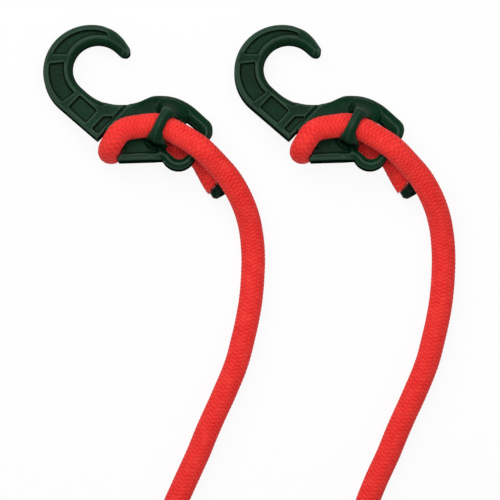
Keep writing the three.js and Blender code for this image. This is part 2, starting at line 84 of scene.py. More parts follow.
class Board:
    """A material's nodes, joined by short calls."""

    def __init__(self, name: str) -> None:
        """Makes an empty material with a Principled shader.

        Args:
            name: The material's name.
        """
        self.material = bpy.data.materials.new(name)
        self.material.use_nodes = True
        self.tree = self.material.node_tree
        self.shader = self.tree.nodes["Principled BSDF"]

    def node(self, kind: str, **settings: object) -> bpy.types.Node:
        """Adds one node.

        Args:
            kind: The node's type name in Blender.
            **settings: Values for the node's own properties.

        Returns:
            The new node.
        """
        made = self.tree.nodes.new(kind)
        for name, value in settings.items():
            setattr(made, name, value)
        return made

    def feed(self, socket: bpy.types.NodeSocket, value: object) -> None:
        """Links a socket to another, or gives it a constant.

        Args:
            socket: The socket that takes the value.
            value: Another socket, a number or a colour.
        """
        if isinstance(value, bpy.types.NodeSocket):
            self.tree.links.new(value, socket)
        else:
            socket.default_value = value

    def math(self, operation: str, *values: object) -> bpy.types.NodeSocket:
        """Adds a Math node.

        Args:
            operation: The node's operation.
            *values: What its sockets take, in their order.

        Returns:
            The result's socket.
        """
        made = self.node("ShaderNodeMath", operation=operation)
        for socket, value in zip(made.inputs, values):
            self.feed(socket, value)
        return made.outputs[0]

    def product(self, first: object, second: object) -> bpy.types.NodeSocket:
        """Returns the product of two values."""
        return self.math("MULTIPLY", first, second)

    def total(self, first: object, second: object) -> bpy.types.NodeSocket:
        """Returns the sum of two values."""
        return self.math("ADD", first, second)

    def blend(self, share: object, low: object, high: object) -> bpy.types.NodeSocket:
        """Mixes two colours.

        Args:
            share: How much of the second colour.
            low: The first colour.
            high: The second colour.

        Returns:
            The mixed colour's socket.
        """
        made = self.node("ShaderNodeMix", data_type="RGBA")
        self.feed(made.inputs[0], share)
        self.feed(made.inputs[6], low)
        self.feed(made.inputs[7], high)
        return made.outputs[2]

    def ramp(self, value: object, low: float, high: float) -> bpy.types.NodeSocket:
        """Spreads part of a value's range over nought to one, softly.

        Args:
            value: The value.
            low: Where nought is.
            high: Where one is.

        Returns:
            The result's socket.
        """
        made = self.node("ShaderNodeMapRange", interpolation_type="SMOOTHSTEP")
        self.feed(made.inputs["Value"], value)
        made.inputs["From Min"].default_value = low
        made.inputs["From Max"].default_value = high
        return made.outputs[0]

    def grain(self, scale: float, detail: float = 2.0) -> bpy.types.NodeSocket:
        """Adds noise that sits still on the piece.

        Args:
            scale: How many cells there are in a metre.
            detail: The noise's detail.

        Returns:
            The noise value's socket.
        """
        place = self.node("ShaderNodeTexCoord")
        made = self.node("ShaderNodeTexNoise")
        self.feed(made.inputs["Vector"], place.outputs["Object"])
        made.inputs["Scale"].default_value = scale
        made.inputs["Detail"].default_value = detail
        return made.outputs[0]

    def bump(self, height: object, distance: float, strength: float) -> None:
        """Gives the shader a bump.

        Args:
            height: The height's socket.
            distance: The height of one, in metres.
            strength: How much of it is used.
        """
        made = self.node("ShaderNodeBump")
        made.inputs["Strength"].default_value = strength
        made.inputs["Distance"].default_value = distance
        self.feed(made.inputs["Height"], height)
        self.feed(self.shader.inputs["Normal"], made.outputs[0])

    def set(self, **values: object) -> None:
        """Sets the shader's sockets, named with _ for a space."""
        for name, value in values.items():
            self.feed(self.shader.inputs[name.replace("_", " ")], value)


@dataclass(frozen=True)
class MouldedFinish:
    """Dark green moulded plastic with a fine grain, paler scuffs, painted shade and painted edge highlights.
    """

    name: str = "moulded_green"
    deep: tuple = (0.0007, 0.0155, 0.0050, 1)
    face: tuple = (0.0018, 0.0270, 0.0100, 1)
    # painted shade, laid on steep walls and in hollows
    wall: tuple = (0.0003, 0.0075, 0.0026, 1)
    scuff: tuple = (0.011, 0.062, 0.029, 1)
    # painted highlight along convex edges, and how much of it is laid
    painted_edge_highlight: tuple = (0.045, 0.085, 0.058, 1)
    scuff_share: float = 0.42
    painted_edge_highlight_share: float = 0.6
    roughness: float = 0.34
    roughness_spread: float = 0.16
    shine: float = 0.07

    def make(self) -> bpy.types.Material:
        """Makes the material.

        Returns:
            The material, which reads the marks that mark_surface leaves on a piece.
        """
        board = Board(self.name)
        cloud = board.ramp(board.grain(90.0, 4.0), 0.35, 0.7)
        wall, bend = (board.node("ShaderNodeAttribute", attribute_name=name).outputs["Fac"]
                      for name in ("wall", "bend"))
        # steep walls and the bend's hollows get painted shade, and its convex edges a painted highlight
        painted_hollow_shade, edge = board.ramp(bend, -0.008, -0.06), board.ramp(bend, 0.012, 0.08)
        base = board.blend(wall, board.blend(cloud, self.deep, self.face), self.wall)
        base = board.blend(painted_hollow_shade, base, self.wall)
        base = board.blend(board.product(edge, self.painted_edge_highlight_share), base, self.painted_edge_highlight)
        marks = board.product(board.ramp(board.grain(1100.0, 5.0), 0.52, 0.76), self.scuff_share)
        board.set(Base_Color=board.blend(marks, base, self.scuff))
        rough = board.math("MULTIPLY_ADD", board.grain(700.0), self.roughness_spread, self.roughness)
        shine = board.math("MULTIPLY_ADD", wall, -self.shine, self.shine)
        board.set(Roughness=rough, Specular_IOR_Level=shine)
        board.bump(board.grain(3200.0, 3.0), 0.05 * MM, 0.5)
        return board.material


@dataclass(frozen=True)
class Braid:
    """The pattern of stitches on the cord, which its mesh and its finish share.

    The stitches stand in columns round the cord. Each leans across its column, one way in the even
    columns and the other way in the odd ones, which also sit half a stitch further on.
    """

    strands: int = 12
    pitch: float = 1.55 * MM
    slope: float = 0.42
    along_power: float = 1.2
    across_power: float = 0.1

    def height(self, around: Points, along: Points) -> Points:
        """Works out how far the stitches stand out.

        Args:
            around: The share of the way round, for each point.
            along: The distance along the cord, for each point.

        Returns:
            A height from nought between the stitches to one on a stitch's crown.
        """
        columns = self.strands * around
        odd = np.floor(columns) % 2
        lean = 2 * self.slope * (columns % 1 - 0.5) * (odd - 0.5)
        rows = along / self.pitch + 0.5 * odd + lean
        crown = np.sin(math.pi * (rows % 1)) ** self.along_power
        return crown * np.sin(math.pi * (columns % 1)) ** self.across_power


@dataclass(frozen=True)
class BraidFinish:
    """Bright red yarn, braided so tightly that each strand shows as short stitches, with painted shade
    between them.
    """

    name: str = "braided_yarn"
    # painted shade, laid between the stitches where the braid is low
    painted_crevice_shade: tuple = (0.64, 0.015, 0.014, 1)
    yarn: tuple = (0.86, 0.030, 0.026, 1)
    crown: tuple = (0.96, 0.062, 0.046, 1)
    crown_share: float = 0.24
    filaments: float = 3.0
    filament_height: float = 0.06

    def make(self, braid: Braid) -> bpy.types.Material:
        """Makes the material.

        Args:
            braid: The pattern, which is worked out as Braid.height does.

        Returns:
            The material, which reads the cord's own UV map.
        """
        board = Board(self.name)
        split = board.node("ShaderNodeSeparateXYZ")
        board.feed(split.inputs[0], board.node("ShaderNodeUVMap", uv_map="braid").outputs[0])
        columns = board.product(split.outputs[0], float(braid.strands))
        column = board.math("FLOOR", columns)
        odd = board.math("MODULO", column, 2.0)
        place = board.math("FRACT", columns)
        lean = board.product(board.math("SUBTRACT", place, 0.5), board.math("SUBTRACT", odd, 0.5))
        rows = board.total(board.product(split.outputs[1], 1 / braid.pitch), board.product(odd, 0.5))
        rows = board.total(rows, board.product(lean, 2 * braid.slope))
        run = board.math("FRACT", rows)
        along, across = (board.math("SINE", board.product(value, math.pi)) for value in (run, place))
        swell = board.product(board.math("POWER", along, braid.along_power),
                              board.math("POWER", across, braid.across_power))
        wisps = board.math("SINE", board.product(run, 2 * math.pi * self.filaments))
        height = board.total(swell, board.product(wisps, self.filament_height))
        # the colour falls to painted shade where the stitches' height is low
        tone = board.blend(board.ramp(height, 0.0, 1.0), self.painted_crevice_shade, self.yarn)
        stitch = board.node("ShaderNodeCombineXYZ")
        board.feed(stitch.inputs[0], column)
        board.feed(stitch.inputs[1], board.math("FLOOR", rows))
        chance = board.node("ShaderNodeTexWhiteNoise", noise_dimensions="2D")
        board.feed(chance.inputs["Vector"], stitch.outputs[0])
        patch = board.ramp(board.grain(260.0, 3.0), 0.42, 0.72)
        lift = board.product(board.total(patch, chance.outputs[0]), self.crown_share)
        board.set(Base_Color=board.blend(lift, tone, self.crown))
        board.set(Roughness=0.8, Specular_IOR_Level=0.15, Sheen_Weight=0.05, Sheen_Roughness=0.5)
        board.bump(height, 0.10 * MM, 0.8)
        return board.material


@dataclass(frozen=True)
class FrayFinish:
    """Loose yarn ends, red with pale pink patches of painted glint spread by noise."""

    name: str = "frayed_yarn"
    red: tuple = (0.66, 0.040, 0.035, 1)
    # painted glint on the yarn ends
    pale: tuple = (0.86, 0.40, 0.36, 1)

    def make(self) -> bpy.types.Material:
        """Makes the material.

        Returns:
            The material.
        """
        board = Board(self.name)
        board.set(Base_Color=board.blend(board.ramp(board.grain(900.0), 0.52, 0.66), self.red, self.pale))
        board.set(Roughness=0.8)
        board.bump(board.grain(6000.0), 0.03 * MM, 0.6)
        return board.material


@dataclass(frozen=True)
class HiddenYarnFinish:
    """The cord's yarn inside the hub, where no stitch can be seen."""

    name: str = "hidden_yarn"
    dark: tuple = (0.36, 0.012, 0.012, 1)
    red: tuple = (0.80, 0.050, 0.040, 1)

    def make(self) -> bpy.types.Material:
        """Makes the material.

        Returns:
            The material.
        """
        board = Board(self.name)
        board.set(Base_Color=board.blend(board.grain(1200.0), self.dark, self.red), Roughness=0.75)
        return board.material


@dataclass(frozen=True)
class RubberFinish:
    """Natural latex strands."""

    name: str = "latex_core"
    pale: tuple = (0.62, 0.50, 0.33, 1)
    dark: tuple = (0.42, 0.32, 0.19, 1)

    def make(self) -> bpy.types.Material:
        """Makes the material.

        Returns:
            The material.
        """
        board = Board(self.name)
        board.set(Base_Color=board.blend(board.grain(1500.0), self.dark, self.pale), Roughness=0.75)
        board.bump(board.grain(2500.0), 0.08 * MM, 0.6)
        return board.material


@dataclass(frozen=True)
class SteelFinish:
    """Zinc-plated screw steel."""

    name: str = "plated_steel"
    bright: tuple = (0.40, 0.41, 0.42, 1)
    dull: tuple = (0.22, 0.22, 0.23, 1)
    roughness: float = 0.34
    roughness_spread: float = 0.25

    def make(self) -> bpy.types.Material:
        """Makes the material.

        Returns:
            The material.
        """
        board = Board(self.name)
        board.set(Base_Color=board.blend(board.grain(1600.0, 4.0), self.dull, self.bright), Metallic=1.0)
        board.set(Roughness=board.math("MULTIPLY_ADD", board.grain(2600.0, 3.0), self.roughness_spread,
                                       self.roughness))
        board.bump(board.grain(4000.0), 0.02 * MM, 0.4)
        return board.material


def unit(vector: Points) -> Points:
    """Returns the vector, or each row of vectors, at a length of one."""
    return vector / np.linalg.norm(vector, axis=-1, keepdims=True)


def centripetal(points: Points, step: float) -> Points:
    """Follows a centripetal Catmull-Rom curve, the one that the model's source uses.

    Args:
        points: The curve's given points.
        step: How far apart the result's points are.

    Returns:
        Points evenly spaced along the curve.
    """
    ends = np.vstack([2 * points[0] - points[1], points, 2 * points[-1] - points[-2]])
    found = []
    weights = np.linspace(0, 1, 60, endpoint=False)[:, None]
    for i in range(1, len(points)):
        before, start, end, after = ends[i - 1], ends[i], ends[i + 1], ends[i + 2]
        gaps = [math.sqrt(np.linalg.norm(b - a)) for a, b in ((before, start), (start, end), (end, after))]
        leave = (start - before) / gaps[0] - (end - before) / (gaps[0] + gaps[1]) + (end - start) / gaps[1]
        arrive = (end - start) / gaps[1] - (after - start) / (gaps[1] + gaps[2]) + (after - end) / gaps[2]
        leave *= gaps[1]
        arrive *= gaps[1]
        square = -3 * start + 3 * end - 2 * leave - arrive
        cube = 2 * start - 2 * end + leave + arrive
        found.append(start + weights * (leave + weights * (square + weights * cube)))
    found.append(points[-1][None, :])
    line = np.vstack(found)
    return evenly(line, step)


def evenly(line: Points, step: float) -> Points:
    """Spaces points evenly along a line.

    Args:
        line: The line's points.
        step: How far apart the result's points are, nearly.

    Returns:
        The evenly spaced points, with both ends kept.
    """
    run = np.concatenate([[0], np.cumsum(np.linalg.norm(np.diff(line, axis=0), axis=1))])
    count = max(2, round(run[-1] / step) + 1)
    places = np.linspace(0, run[-1], count)
    return np.stack([np.interp(places, run, line[:, axis]) for axis in range(3)], axis=1)


def carried_frames(line: Points) -> tuple[Points, Points]:
    """Carries a pair of cross directions along a line without twist.

    Args:
        line: Evenly spaced points.

    Returns:
        The two directions at each point, each a row.
    """
    tangents = unit(np.gradient(line, axis=0))
    first = np.zeros_like(line)
    first[0] = unit(np.cross(tangents[0], [0.0, 0.0, 1.0]))
    for i in range(1, len(line)):
        kept = first[i - 1] - tangents[i] * (first[i - 1] @ tangents[i])
        first[i] = unit(kept)
    return first, np.cross(tangents, first)


def placed(name: str, data: bpy.types.ID, location: tuple = (0.0, 0.0, 0.0)) -> bpy.types.Object:
    """Adds an object to the scene.

    Args:
        name: The object's name.
        data: Its mesh, camera or lamp.
        location: Where it is.

    Returns:
        The object.
    """
    made = bpy.data.objects.new(name, data)
    made.location = location
    bpy.context.scene.collection.objects.link(made)
    return made


def object_of(name: str, mesh: bmesh.types.BMesh) -> bpy.types.Object:
    """Turns a bmesh into an object in the scene.

    Args:
        name: The object's name.
        mesh: The bmesh, which is freed.

    Returns:
        The object.
    """
    data = bpy.data.meshes.new(name)
    mesh.to_mesh(data)
    mesh.free()
    return placed(name, data)


def smooth(made: bpy.types.Object) -> bpy.types.Object:
    """Shades an object smoothly and returns it."""
    made.data.shade_smooth()
    return made


def dressed(made: bpy.types.Object, material: bpy.types.Material) -> None:
    """Gives an object one material in place of any that it has."""
    made.data.materials.clear()
    made.data.materials.append(material)


def applied(made: bpy.types.Object) -> bpy.types.Object:
    """Applies an object's modifiers.

    Args:
        made: The object.

    Returns:
        The same object.
    """
    graph = bpy.context.evaluated_depsgraph_get()
    data = bpy.data.meshes.new_from_object(made.evaluated_get(graph))
    made.modifiers.clear()
    made.data = data
    return made


def removed(*objects: bpy.types.Object) -> None:
    """Removes helper objects from the file."""
    for made in objects:
        bpy.data.objects.remove(made, do_unlink=True)


def swept(rings: list) -> bmesh.types.BMesh:
    """Pulls a face on from ring to ring.

    Args:
        rings: Lists of places, all of one length, that the face's corners go through in turn.

    Returns:
        The closed solid.
    """
    mesh = bmesh.new()
    ring = [mesh.verts.new(place) for place in rings[0]]
    face = mesh.faces.new(ring)
    for places in rings[1:]:
        pulled = bmesh.ops.extrude_face_region(mesh, geom=[face, *face.edges])
        face = next(g for g in pulled["geom"] if isinstance(g, bmesh.types.BMFace))
        new = set(face.verts)
        ring = [next(e.other_vert(v) for e in v.link_edges if e.other_vert(v) in new) for v in ring]
        for vert, place in zip(ring, places):
            vert.co = place
    bmesh.ops.recalc_face_normals(mesh, faces=mesh.faces)
    return mesh


def prism(name: str, outline: list, low: float, high: float, edge: float = 0.0) -> bpy.types.Object:
    """Pulls a flat outline up into a solid, with its two rims rounded.

    Args:
        name: The object's name.
        outline: The outline's corners in the plane.
        low: The lower face's height.
        high: The upper face's height.
        edge: The rims' radius, or nought to keep them sharp.

    Returns:
        The solid.
    """
    mesh = swept([[(u, v, height) for u, v in outline] for height in (low, high)])
    if edge:
        rims = [e for e in mesh.edges if abs(e.verts[0].co.z - e.verts[1].co.z) < 1e-9]
        bmesh.ops.bevel(mesh, geom=rims, offset=edge, segments=3, profile=0.5, affect="EDGES", material=-1)
    return object_of(name, mesh)


def arc(u: float, v: float, radius: float, start: float, end: float, steps: int) -> list:
    """Lists points on an arc.

    Args:
        u: The centre's first coordinate.
        v: The centre's second coordinate.
        radius: The radius.
        start: The first angle in degrees.
        end: The last angle in degrees.
        steps: How many steps there are between them.

    Returns:
        The points as pairs.
    """
    angles = np.radians(np.linspace(start, end, steps + 1))
    return [(u + radius * math.cos(a), v + radius * math.sin(a)) for a in angles]


def spot(radius: float, angle: float) -> tuple[float, float]:
    """Returns the place at a radius and an angle in radians."""
    return radius * math.cos(angle), radius * math.sin(angle)


def polygon(radius: float, sides: int) -> list:
    """Returns the corners of an even polygon round the origin."""
    return [spot(radius, 2 * math.pi * i / sides) for i in range(sides)]


def cut(body: bpy.types.Object, tools: list, operation: str = "DIFFERENCE") -> None:
    """Cuts tools out of a body, or joins them to it, and removes them.

    Args:
        body: The solid that is changed.
        tools: The solids that change it.
        operation: The Boolean modifier's operation.
    """
    for tool in tools:
        change = body.modifiers.new("change", "BOOLEAN")
        change.operation = operation
        change.solver = "EXACT"
        change.object = tool
    applied(body)
    removed(*tools)


def cast(body: bpy.types.Object, fineness: Bake, passes: int) -> bpy.types.Object:
    """Casts a solid as one skin with softened corners, as a mould leaves it.

    Args:
        body: The solid.
        fineness: The size of the casting's grid.
        passes: How many times the skin is smoothed.

    Returns:
        The same object with its new skin.
    """
    grid = body.modifiers.new("grid", "REMESH")
    grid.mode = "VOXEL"
    grid.voxel_size = fineness.value
    grid.adaptivity = 0
    soften = body.modifiers.new("soften", "SMOOTH")
    soften.factor = 0.5
    soften.iterations = passes
    return smooth(applied(body))


def positions(made: bpy.types.Object) -> Points:
    """Reads an object's vertices.

    Args:
        made: The object.

    Returns:
        A row for each vertex.
    """
    found = np.zeros(len(made.data.vertices) * 3, np.float32)
    made.data.vertices.foreach_get("co", found)
    return found.reshape(-1, 3).astype(float)


def move_to(made: bpy.types.Object, places: Points) -> None:
    """Puts an object's vertices at new places."""
    made.data.vertices.foreach_set("co", places.astype(np.float32).ravel())
    made.data.update()


@dataclass
class HookForm:
    """The moulded hook in its own plan, in millimetres: u along the shank to the eye, v across, w up."""

    thickness: float = 7.0
    crook: tuple = (-30.95, 1.2, 18.0)
    throat: tuple = (-29.85, 3.8, 9.5)
    tip_radius: float = 2.2
    tip_reach: float = 2.7
    tip_angles: tuple = (118.0, 64.0)
    rim: float = 2.1
    inner_rim: float = 3.3
    pocket_depth: float = 1.5
    rib: float = 3.2
    shank_rim: float = 2.7
    notch: tuple = (-11.5, -1.8)
    saddle_low: float = -11.7
    top: float = 17.1
    upper_lobe: tuple = (14.3, 12.6, 4.5)
    lower_lobe: tuple = (14.1, 0.5, 6.5)
    horn: tuple = (-17.0, 1.2)
    window: tuple = (3.0, 17.2, -2.0, 11.7)
    window_corners: tuple = (2.6, 7.0, 4.2, 3.2)
    bridge_thickness: float = 2.5
    bridge_middle: tuple = (3.2, 3.1)
    bridge_turn: float = 16.0
    bridge_slope: float = 0.7
    bridge_half: float = 1.95
    upper_foot: tuple = (3.0, 5.0, 6.6)
    lower_foot: tuple = (0.2, 1.2, 1.0)
    channel_room: float = 0.16
    crown_depth: float = 1.5
    crown_width: float = 3.8
    step: float = 0.4
    crease: float = 0.7
    crease_u: float = -12.4
    shank_end: float = -12.1
    throat_drop: tuple = (1.8, 2.3)
    edge_drop: tuple = (0.45, 1.3)
    edge: float = 0.55
    smoothing: int = 4
    fillets: tuple = ((1.2, 7.4), (-1.0, 4.4))
    fillet_shrinks: tuple = (1.0, 0.85, 0.7, 0.55)
    fillet_passes: int = 16
    neck_end: float = -19.5
    finish: MouldedFinish = field(default_factory=MouldedFinish)

    def outline(self) -> list:
        """Draws the hook's outline.

        Returns:
            The corners, anticlockwise.
        """
        cu, cv, cr = self.crook
        tu, tv, tr = self.throat
        tip_u, tip_v = tu + self.tip_reach, tv + tr + self.tip_radius
        neck = 2 * tr
        neck_u = tu + 0.157 * neck
        neck_v = tv - tr + neck
        left, right = self.notch
        side_u, side_v = spot(neck, math.radians(self.neck_end))
        # The shoulder's places are shares of the notch and the eye's top, as in the model's source
        shoulder = [
            (neck_u + side_u, neck_v + side_v),
            (0.66 * left, 0.575 * self.top),
            (0.3 * left, 0.81 * self.top),
            (0.0, 0.92 * self.top),
            (-0.41 * left, 0.99 * self.top),
            (self.upper_lobe[0], self.top),
        ]
        first, last = (math.radians(angle) for angle in self.tip_angles)
        start_u, start_v = cu + cr * math.cos(first), cv + cr * math.sin(first)
        side_u, side_v = spot(self.tip_radius, last)
        rise = 0.965 * (cv + cr)
        back = [
            (start_u, start_v),
            (start_u + 0.35 * (tip_u - start_u), rise),
            (start_u + 0.7 * (tip_u - start_u), rise),
            (tip_u + side_u, tip_v + side_v),
        ]
        horn_v, horn_r = self.horn
        points = [(left, cv - cr + 0.4)]
        points += arc(cu, cv, cr, -90, self.tip_angles[0] - 360, 80)
        points += flat_curve(back)[1:]
        points += arc(tip_u, tip_v, self.tip_radius, self.tip_angles[1], -90, 12)[1:]
        points += arc(tu, tv, tr, 90, 270, 48)
        points += arc(neck_u, neck_v, neck, -90, self.neck_end, 24)[:-1]
        points += flat_curve(shoulder)
        points += arc(*self.upper_lobe, 90, 0, 14)[1:]
        points += arc(*self.lower_lobe, 0, -112, 24)
        points += arc(right + horn_r, horn_v + horn_r, horn_r, -50, -180, 6)
        points += [(right, self.saddle_low), (left, self.saddle_low)]
        return points[::-1]

    def pockets(self) -> list:
        """Draws the sunk fields.

        Returns:
            Each field's corners, anticlockwise.
        """
        cu, cv, cr = self.crook
        tu, tv, tr = self.throat
        outer, inner = cr - self.rim, tr + self.inner_rim
        low, high = cv - outer, tv - tr - self.shank_rim
        left, right = self.notch
        first = cu + self.rib
        second = first + 0.545 * (left - first)
        last = left - 0.6 * self.rim
        recess = right - 1.0
        fields = [
            arc(cu, cv, outer, start, end, steps) + arc(tu, tv, inner, end, start, steps)
            for start, end, steps in ((112, 198, 36), (212, 270, 26))
        ]
        third, under = second + self.rib, self.window[2] - self.rim
        fields.append([(first, low), (second, low), (second, high), (first, high)])
        fields.append([(third, low), (last, low), (last, high + self.shank_rim), (third, high)])
        fields.append([(recess, self.horn[0] + 0.6), (9.4, under), (recess, under)])
        return [corners if polygon_area(corners) > 0 else corners[::-1] for corners in fields]

    def window_outline(self) -> list:
        """Draws the eye's window, whose corners on the bridge's side are large.

        Returns:
            The corners, anticlockwise.
        """
        left, right, low, high = self.window
        points = []
        for quarter, radius in enumerate(self.window_corners):
            u = right - radius if quarter in (0, 3) else left + radius
            v = high - radius if quarter < 2 else low + radius
            points += arc(u, v, radius, quarter * 90, quarter * 90 + 90, 8)
        return points

    def bridge(self) -> bpy.types.Object:
        """Pulls the bridge over the cord, flared towards both feet.

        Returns:
            The solid, in millimetres.
        """
        inner = CORD_RADIUS / MM + 0.35
        foot = LAID_MM - self.thickness / 4
        rings = []
        # Shares below nought and over one are the feet, which run straight down into the eye
        for share in np.linspace(-0.5, 1.5, 61):
            angle = math.pi * min(max(share, 0.0), 1.0)
            sunk = max(0.0, -share, share - 1) * 2
            near = abs(math.cos(angle)) ** 4
            flare = min(sunk, 0.68) ** 1.2
            left_flare, right_flare, ramp = self.upper_foot if share < 0.5 else self.lower_foot
            left = self.bridge_half + 0.9 * near + left_flare * flare
            right = self.bridge_half + 2.4 * near + right_flare * flare
            outer = inner + self.bridge_thickness + 0.3 * near + ramp * flare
            section = [(-left, inner), (right, inner)]
            for i in range(9):
                turn = math.pi * i / 8
                side = (right - left) / 2 + (right + left) / 2 * math.cos(turn)
                slope = self.bridge_slope * max(0.0, math.cos(turn))
                section.append((side, outer - 1.3 * (1 - math.sin(turn)) - slope))
            rings.append([(side, radius * math.cos(angle), radius * math.sin(angle) - foot * sunk)
                          for side, radius in section])
        mesh = swept(rings)
        lay = Matrix.Translation((*self.bridge_middle, LAID_MM))
        lay @= Matrix.Rotation(math.radians(self.bridge_turn), 4, "Z")
        bmesh.ops.transform(mesh, matrix=lay, verts=mesh.verts)
        return object_of("bridge", mesh)

    def build(self, channel: bpy.types.Object) -> bpy.types.Object:
        """Casts the hook in its own plan, in metres.

        Args:
            channel: The room for the cord, which is cut out and removed.

        Returns:
            The hook.
        """
        half = self.thickness / 2
        body = prism("hook", self.outline(), -half, half, self.edge)
        tools = [prism("window", self.window_outline(), -2 * half, 2 * half)]
        for sunk in self.pockets():
            tools.append(prism("field", sunk, half - self.pocket_depth, 2 * half))
            tools.append(prism("field", sunk, -2 * half, self.pocket_depth - half))
        cut(body, tools)
        cut(body, [self.bridge()], "UNION")
        body.data.transform(Matrix.Scale(MM, 4))
        cut(body, [channel])
        cast(body, Bake.HOOK, self.smoothing)
        self.filleted(body)
        self.shaped(body)
        dressed(body, self.finish.make())
        return body

    def filleted(self, body: bpy.types.Object) -> None:
        """Melts the bridge's feet into the eye, as the mould's large radii do.

        Args:
            body: The cast hook.
        """
        turn = math.radians(self.bridge_turn)
        reach = CORD_RADIUS / MM + 2.6
        feet = []
        for side, spread in self.fillets:
            u = self.bridge_middle[0] - side * reach * math.sin(turn)
            v = self.bridge_middle[1] + side * reach * math.cos(turn)
            feet.append((Vector((u, v, self.thickness / 2 + 0.6)) * MM, spread * MM))
        mesh = bmesh.new()
        mesh.from_mesh(body.data)
        for shrink in self.fillet_shrinks:
            near = [v for v in mesh.verts
                    if any((v.co - foot).length < shrink * spread for foot, spread in feet)]
            for _ in range(self.fillet_passes):
                bmesh.ops.smooth_vert(mesh, verts=near, factor=0.5, use_axis_x=True, use_axis_y=True,
                                      use_axis_z=True)
        mesh.to_mesh(body.data)
        mesh.free()

    def shaped(self, body: bpy.types.Object) -> None:
        """Raises the shoulder beyond the shank and rounds the faces down to the hook's edges.

        Args:
            body: The cast hook.
        """
        tu, tv, tr = self.throat
        outline, window = self.outline(), self.window_outline()
        throat = [(u, v) for u, v in outline if u < -12 and math.hypot(u - tu, v - tv) < 1.35 * tr and v < 14]
        lines = {"edge": (outline, True), "window": (window, True), "throat": (throat, False)}
        trees = {name: self.line_tree(points, closed) for name, (points, closed) in lines.items()}
        places = positions(body) / MM
        u, v, w = places.T
        half = self.thickness / 2
        away = {name: np.array([tree.find((x, y, 0))[2] for x, y in places[:, :2]])
                for name, tree in trees.items()}
        # Each face drops towards the hook's edges, the throat and the crease, and rises on the shoulder
        beyond = np.clip((u - self.shank_end) / 0.6, 0, 1)
        high = np.clip((v + 0.45 * (u + 9)) / 5, 0, 1) * beyond
        from_edge = np.clip(1 - np.minimum(away["edge"], away["window"]) / self.crown_width, 0, 1)
        drop = self.crown_depth * from_edge ** 2 * high
        depth, width = self.throat_drop
        drop += depth * np.clip(1 - away["throat"] / width, 0, 1) ** 1.4 * (1 - beyond)
        depth, width = self.edge_drop
        drop += depth * np.clip(1 - away["edge"] / width, 0, 1) ** 2 * (1 - high)
        drop += self.crease * np.exp(-((u - self.crease_u) / 0.5) ** 2) * np.clip((v + 9) / 3, 0, 1)
        drop -= self.step * beyond
        flat = np.clip((np.abs(w) - 0.3 * half) / (0.7 * half), 0, 1) * (np.abs(w) < 1.05 * half)
        places[:, 2] = w - np.sign(w) * drop * flat
        move_to(body, places * MM)
        mark_surface(body, 3)

    def line_tree(self, points: list, closed: bool) -> KDTree:
        """Prepares a line in the plane for finding its nearest point.

        Args:
            points: The line's corners.
            closed: Whether it runs back to its start.

        Returns:
            A tree of points spaced closely along the line.
        """
        ring = points + points[:1] if closed else points
        dense = evenly(np.array([(u, v, 0.0) for u, v in ring]), 0.25)
        tree = KDTree(len(dense))
        for i, place in enumerate(dense):
            tree.insert(place, i)
        tree.balance()
        return tree


def mark_surface(made: bpy.types.Object, spread: int) -> None:
    """Stores how steep and how bent the surface is at each point, for the finish to read.

    Args:
        made: The cast piece, lying flat.
        spread: How many times the bend is averaged with its neighbours'.
    """
    data = made.data
    normals = np.empty(3 * len(data.vertices))
    data.vertices.foreach_get("normal", normals)
    normals = normals.reshape(-1, 3)
    pairs = np.empty(2 * len(data.edges), dtype=int)
    data.edges.foreach_get("vertices", pairs)
    one, other = pairs.reshape(-1, 2).T
    count = np.bincount(pairs, minlength=len(normals))
    gap = positions(made)[one] - positions(made)[other]
    length = np.maximum(np.linalg.norm(gap, axis=1), 1e-9)
    bend = np.bincount(one, np.sum(gap * normals[one], axis=1) / length, len(normals))
    bend -= np.bincount(other, np.sum(gap * normals[other], axis=1) / length, len(normals))
    bend /= count
    for _ in range(spread):
        around = np.bincount(one, bend[other], len(bend)) + np.bincount(other, bend[one], len(bend))
        bend = 0.5 * bend + 0.5 * around / count
    steep = np.clip(1.5 - 2.8 * np.abs(normals[:, 2]), 0, 1)
    for name, values in (("wall", steep), ("bend", bend)):
        mark = data.attributes.new(name, "FLOAT", "POINT")
        mark.data.foreach_set("value", values.astype(np.float32))


def flat_curve(points: list) -> list:
    """Runs a smooth curve through points in the plane and returns it as pairs."""
    return centripetal(np.array([(u, v, 0.0) for u, v in points]), 0.9)[:, :2].tolist()


def polygon_area(corners: list) -> float:
    """Works out a polygon's area.

    Args:
        corners: The polygon's corners as pairs.

    Returns:
        The area, below nought where the corners run clockwise.
    """
    places = np.array(corners)
    after = np.roll(places, -1, axis=0)
    return 0.5 * float(np.sum(places[:, 0] * after[:, 1] - places[:, 1] * after[:, 0]))


@dataclass
class ArmPlan:
    """Where one hook lies and how its cord runs to the hub.

    The hook's place and the route are in millimetres, as in the model's source, with the route's heights
    in cord diameters. The bend's two ends are in metres.
    """

    number: int
    hook: tuple
    port: int
    route: list
    bend_start: tuple
    bend_end: tuple


